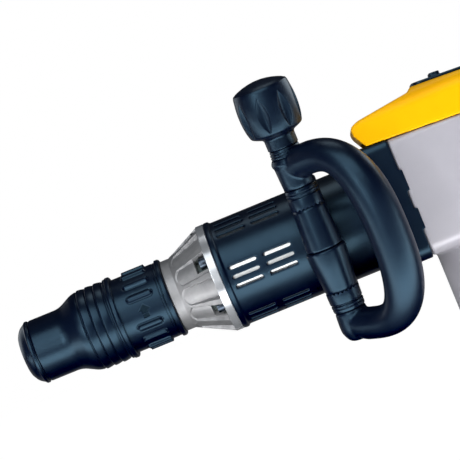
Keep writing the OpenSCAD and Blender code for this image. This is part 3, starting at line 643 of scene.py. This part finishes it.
def make_index_ring():
    """The indexing ring, whose arrow's sunk faces get a duller and darker material as painted shade."""
    x0, x1 = span("index_ring", 0)
    r = RING_R
    loop = rounded([(x0, 17.1), (x0, 32, 0.5), (x0 + 1, r), (x1 - 7.4, r), (x1 - 7.3, r - 0.7, 0.2),
                    (x1 - 6.6, r - 0.7, 0.2), (x1 - 6.5, r - 0.1, 0.2), (x1 - 5, r - 0.1, 0.2),
                    (x1 - 4.9, r - 0.9, 0.2), (x1 - 4.2, r - 0.9, 0.2), (x1 - 4, 34.5, 0.5),
                    (x1 - 1, 34.5, 0.6), (x1, 33.6, 0.3), (x1, 29), (98, 29), (98, 20.02), (88.9, 20.02),
                    (88.9, 17.1)])
    shape = turned(BARREL, refined(loop, 0.42, 31.5), 560, index_ring_relief)
    ring = settle(object_from("turning_ring", shape), ["index_ring"], 50)
    ring.data.materials.append(MAT["matt_painted_shade"])
    # the arrow's sunk faces take the darker matt material as painted shade
    for face in ring.data.polygons:
        x, y, z = face.center / MM
        near_arrow = abs(x - RIB_X) < 7 and abs(math.atan2(-z, -y) - FIRST_RIB) < math.radians(11)
        if near_arrow and math.hypot(y, z) < r - 0.4:
            face.material_index = 1


def make_chuck_spring():
    """The coil that the locking sleeve presses together as it slides back."""
    coil = copy_of("chuck_coil", "chuck_spring")
    rounder = coil.modifiers.new("rounder", "SUBSURF")
    rounder.levels = rounder.render_levels = 1
    baked(coil)
    settle(coil, ["chuck_spring"], 60)
    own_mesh(coil)


# ---- front housing ----

CONE_X0, CONE_X1 = 144.5, 176.0
CONE_R0, CONE_R1 = 31.5, 47.2
CONE_RIBS = 12
WINDOW_DEPTH = 6.6                  # only the screw windows are sunk deeper than this; faces below this depth get a darker material as painted shade
PATTERN_TURN = math.radians(8.5)


def cone_relief(along, radius, angle):
    """Wedge-shaped ribs with hollow panels between them, and a screw window in every other panel."""
    half_pitch = TURN / CONE_RIBS / 2
    t = np.clip((along - CONE_X0) / (CONE_X1 - CONE_X0), 0, 1)
    offset, number = wrapped(angle, PATTERN_TURN, 2 * half_pitch)
    across = offset / half_pitch
    has_screw = number % 2 != 0
    rib_half = 0.7 + 2.1 * t
    beside_rib = (1 - np.abs(across)) * half_pitch * radius - rib_half
    start = 0.04 + 0.16 * np.abs(across) ** 2
    opened = smooth_step(start, start + 0.05, t)
    crown = 1 - 0.42 * (1 - across ** 2)
    window = smooth_step(0.66, 0.70, t) * smooth_step(0.68, 0.60, np.abs(across + 0.22))
    hollow = np.where(has_screw, 1.0 + 4.6 * t + 9.0 * window, 0.8 + 5.2 * t) * crown * opened
    wall = smooth_step(0, 0.75, beside_rib)
    on_cone = (along > CONE_X0 - 0.01) & (along < CONE_X1 + 0.01) & (radius > CONE_R0 - 0.1)
    return along, radius - np.where(on_cone, hollow * wall, 0)


def make_front_housing():
    """The ribbed cone and its bright ring, with the faces deep in the screw windows given a darker material as
    painted shade.
    """
    x0, x1 = span("front_housing", 0)
    loop = rounded([(x0, 24.02), (x0, CONE_R0 - 0.6), (x0 + 0.6, CONE_R0), (CONE_X0, CONE_R0),
                    (CONE_X1, CONE_R1), (CONE_X1 + 0.05, 47.4, 0.1), (CONE_X1 + 0.5, 47.5, 0.2),
                    (x1 - 0.4, 47.5, 0.3), (x1, 47, 0.2), (x1, 30), (172.4, 30), (172.4, 24.02)])
    shape = turned(BARREL, refined(loop, 0.5, 31), 720, cone_relief)
    cone = settle(object_from("ribbed_cone", shape), ["front_housing"], 45)
    # faces deeper than WINDOW_DEPTH in the screw windows take the darker inner_plastic material: painted shade
    cone.data.materials.append(MAT["inner_plastic"])
    for face in cone.data.polygons:
        x, y, z = face.center / MM
        surface = CONE_R0 + (CONE_R1 - CONE_R0) * (x - CONE_X0) / (CONE_X1 - CONE_X0)
        if CONE_X0 < x < CONE_X1 and 31 < math.hypot(y, z) < surface - WINDOW_DEPTH:
            face.material_index = 1


# ---- side handle ----

def arch(t, height):
    """A point of the D grip's centre line, from its outermost middle at t = 0 to its arm's top at 1."""
    square = 2 / 2.5
    a = t * math.pi / 2
    return height * math.sin(a) ** square, 26 + 48 * math.cos(a) ** square


def make_side_grip():
    """The D grip: a swept tube whose ends flow into the two eyes on the clamp rod."""
    upper, lower, steps = 75.7, 71.1, 22
    line = []
    for side, height in ((1, upper), (-1, lower)):
        half = []
        for i in range(steps + 1):
            up, out = arch(i / steps, height)
            half.append((side * up, out, 13.5 + 3.5 * smooth_step(1, 0.2, i / steps)))
        half += [(side * (height - 0.8), 14, 13.5), (side * (height - 3.4), 4, 13.3)]
        line = half[::-1] + line[1:] if side == 1 else line + half[1:]
    top_eye = rounded([(54.6, 0), (54.6, 13.0, 0.5), (57, 13.4), (66, 13.9, 4), (75.6, 14.2, 0.5),
                       (76.4, 15.3, 0.5), (79.4, 15.3, 0.5), (80.2, 14.3, 0.5), (82.3, 13.8, 0.5), (82.3, 0)])
    low_eye = rounded([(-54.6, 0), (-54.6, 13.0, 0.5), (-57, 13.4), (-66, 13.9, 4), (-72, 13.9, 4),
                       (-81.6, 9.5, 10), (-81.6, 0)])
    shape = joined(swept(ROD, line, 32), turned(ROD, top_eye, 64), turned(ROD, low_eye, 64))
    grip = object_from("d_grip", shape)
    remould(grip, 1.0, 8)
    bore = rounded([(-76.5, 0), (-76.5, 5.4), (84, 5.4), (84, 13.0), (100, 13.0), (100, 0)])
    flat = rounded([(-54.52, 0), (-54.52, 20), (54.52, 20), (54.52, 0)])
    carve(grip, turned(ROD, bore, 64))
    carve(grip, turned(ROD, flat, 64))
    settle(grip, ["side_grip"], 50)


def knob_relief(along, radius, angle):
    """Eight lens-shaped flutes with crisp edges."""
    middle, half_length, half_width, depth, flutes = 120.5, 15.5, 4.9, 2.9, 8
    offset, _ = wrapped(angle, math.radians(32), TURN / flutes)
    swell = np.clip(1 - ((along - middle) / half_length) ** 2, 0, 1)
    width = np.maximum(half_width * swell, 1e-6)
    across = offset * radius / width
    cut = depth * swell * np.clip(1 - across ** 2, 0, 1)
    return along, radius - np.where(radius > 20, cut, 0)


def make_knob():
    """The clamp knob: a collar, a fluted body and a low dome."""
    low = 89.6
    dome = [(low + 53.4 + 5.0 * (1 - (r / 21.8) ** 2), r) for r in (20, 17, 13, 9, 5, 0)]
    loop = rounded([(low, 0), (low, 12.3, 0.7), (low + 0.8, 13.1, 0.5), (low + 10.6, 13.1, 2),
                    (low + 13.2, 19.5, 3), (low + 14.6, 22.2, 2), (low + 20.5, 24, 5),
                    (low + 29, 25.1, 6), (low + 39, 25.2, 6), (low + 50.6, 23.7, 1.5),
                    (low + 52.6, 22.9, 0.5), (low + 53.1, 21.8, 0.3), *dome])
    shape = turned(ROD, refined(loop, 0.6, 19), 360, knob_relief)
    settle(object_from("clamp_knob", shape), ["side_knob"], 35)


def make_knob_spacer():
    loop = rounded([(82.4, 5.2), (82.4, 13.2, 0.5), (84.2, 13.3, 0.5), (84.4, 12.5, 0.2), (84.9, 12.5, 0.2),
                    (85.1, 13.2, 0.5), (86.6, 13.1, 0.5), (86.8, 12.4, 0.2), (87.3, 12.4, 0.2),
                    (87.5, 12.9, 0.4), (89.3, 12.5, 0.4), (89.3, 5.2)])
    settle(object_from("knob_collar", turned(ROD, loop, 96)), ["knob_spacer"])


def make_clamp_half(name, node, side):
    """Half of the clamp: half a tube beside the barrel, and half a band round it."""
    seam_r = 15.8 if side > 0 else 17.2
    tube = rounded([(0.2 * side, 0), (0.2 * side, seam_r, 0.4), (12 * side, seam_r - 0.5, 8),
                    (36.4 * side, 13.9, 0.5), (36.4 * side, 12.6), (38.4 * side, 12.6), (38.4 * side, 0)])
    half_band, web = 14.4, 15.8
    arc = (-math.pi + 0.008, -0.008) if side > 0 else (0.008, math.pi - 0.008)
    low, high = sorted((-0.45 * side, -web * side))
    clamp = object_from(name, joined(
        turned(ROD, tube, 96),
        band(CLAMP, 44, 51, half_band, *arc),
        block(CLAMP, (-half_band, 44, low), (half_band, 61, high))))
    remould(clamp, 0.9, 6)
    barrel = rounded([(200, 0), (200, 46.08), (330, 46.08), (330, 0)])      # 0.08 mm off the barrel
    bore = rounded([(-50, 0), (-50, 5.2), (50, 5.2), (50, 0)])              # room for the rod
    carve(clamp, turned(BARREL, barrel, 256), turned(ROD, bore, 48))
    settle(clamp, [node], 50)


def make_toothed_rings():
    """The two rings between clamp and grip, each with a saw-toothed skirt round the clamp's end."""
    teeth, tooth_h = 23, 0.75

    def skirt(along, radius, angle):
        zigzag = np.abs((angle * teeth / TURN) % 1 - 0.5) * 4 - 1
        low_edge = (np.abs(along) < 37.8) & (radius > 12.95)
        return along + np.where(low_edge, np.sign(along) * tooth_h * zigzag, 0), radius

    shapes = []
    for side in (1, -1):
        corners = [(38.85, 5.4), (38.85, 13.0), (37.6, 13.0), (37.6, 14.1), (40.2, 14.2, 0.5),
                   (46.9, 14.0, 0.6), (47.5, 12.9, 0.3), (48.1, 12.9, 0.3), (48.7, 13.9, 0.5),
                   (50.4, 13.9, 0.5), (50.8, 13.2, 0.2), (51.2, 13.2, 0.2), (51.6, 13.8, 0.4),
                   (53.9, 13.5, 0.5), (54.45, 12.9, 0.3), (54.45, 5.4)]
        loop = rounded([(side * c[0], *c[1:]) for c in corners])
        shapes.append(turned(ROD, loop, teeth * 12, skirt))
    settle(object_from("toothed_rings", joined(*shapes)), ["serrated_rings"], 35)


# ---- casings ----

def make_casings():
    """Cast and moulded casings: the CAD shapes with rounded edges and an even skin."""
    for name, node, voxel, ease in (
            ("silver_body", "gear_housing", 1.3, 9), ("body_collar", "collar_cover", 1.0, 5),
            ("barrel_shroud", "barrel_cover", 0.8, 3),
            ("yellow_top", "top_cover", 1.1, 9), ("motor_case", "motor_housing", 1.2, 6),
            ("motor_foot", "motor_end_cap", 1.1, 5), ("dial_surround", "dial_bezel", 0.7, 5),
            ("dial_knob", "speed_dial", 0.6, 4), ("trigger_lever", "trigger", 0.8, 8),
            ("cord_boot", "cord_gland", 0.7, 5), ("lock_on_button", "lock_button", 0.45, 5)):
        piece = copy_of(name, node)
        remould(piece, voxel, ease)
        settle(piece, [node], 60)


def make_rear_handle():
    """The two handle shells, rounded as one and then cut apart along their seam."""
    whole = copy_of("handle", "handle_shell_left", "handle_shell_right")
    remould(whole, 1.5, 26)
    slot_low, slot_high = (np.array(c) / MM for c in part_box("trigger"))
    world = Place((0, 0, 0), (1, 0, 0), (0, 1, 0))
    trigger_gap, seam_gap = 0.7, 0.12
    carve(whole, block(world, slot_low - trigger_gap, slot_high + trigger_gap))
    for name, node, side in (("handle_left", "handle_shell_left", -1),
                             ("handle_right", "handle_shell_right", 1)):
        half = object_from(name, (np.array([v.co for v in whole.data.vertices]) / MM,
                                  [list(p.vertices) for p in whole.data.polygons]))
        body = bmesh.new()
        body.from_mesh(half.data)
        bmesh.ops.bisect_plane(body, geom=body.verts[:] + body.edges[:] + body.faces[:],
                               plane_co=(0, side * seam_gap * MM, 0), plane_no=(0, side, 0),
                               clear_inner=True)
        bmesh.ops.holes_fill(body, edges=[e for e in body.edges if e.is_boundary])
        bmesh.ops.recalc_face_normals(body, faces=body.faces)
        body.to_mesh(half.data)
        body.free()
        settle(half, [node], 45)
    bpy.data.objects.remove(whole)


def soften(obj, width):
    """Rounds the edges of a CAD mesh with modifiers and shades it smooth."""
    weld = obj.modifiers.new("weld", "WELD")
    weld.merge_threshold = 0.004 * MM
    bevel = obj.modifiers.new("round", "BEVEL")
    bevel.width = width * MM
    bevel.segments = 2
    bevel.limit_method = "ANGLE"
    bevel.angle_limit = math.radians(32)
    obj.data.shade_smooth()


for node_name, node_obj in nodes.items():
    finish = "turned_aluminium" if node_name == "barrel_housing" else NODE_SLOT[node_name]
    dress(node_obj, MAT[finish])
    soften(node_obj, 0.35)

make_front_cap()
make_lock_sleeve()
make_index_ring()
make_chuck_spring()
make_front_housing()
make_side_grip()
make_knob()
make_knob_spacer()
make_clamp_half("clamp_top", "clamp_upper", 1)
make_clamp_half("clamp_base", "clamp_lower", -1)
make_toothed_rings()
make_casings()
make_rear_handle()
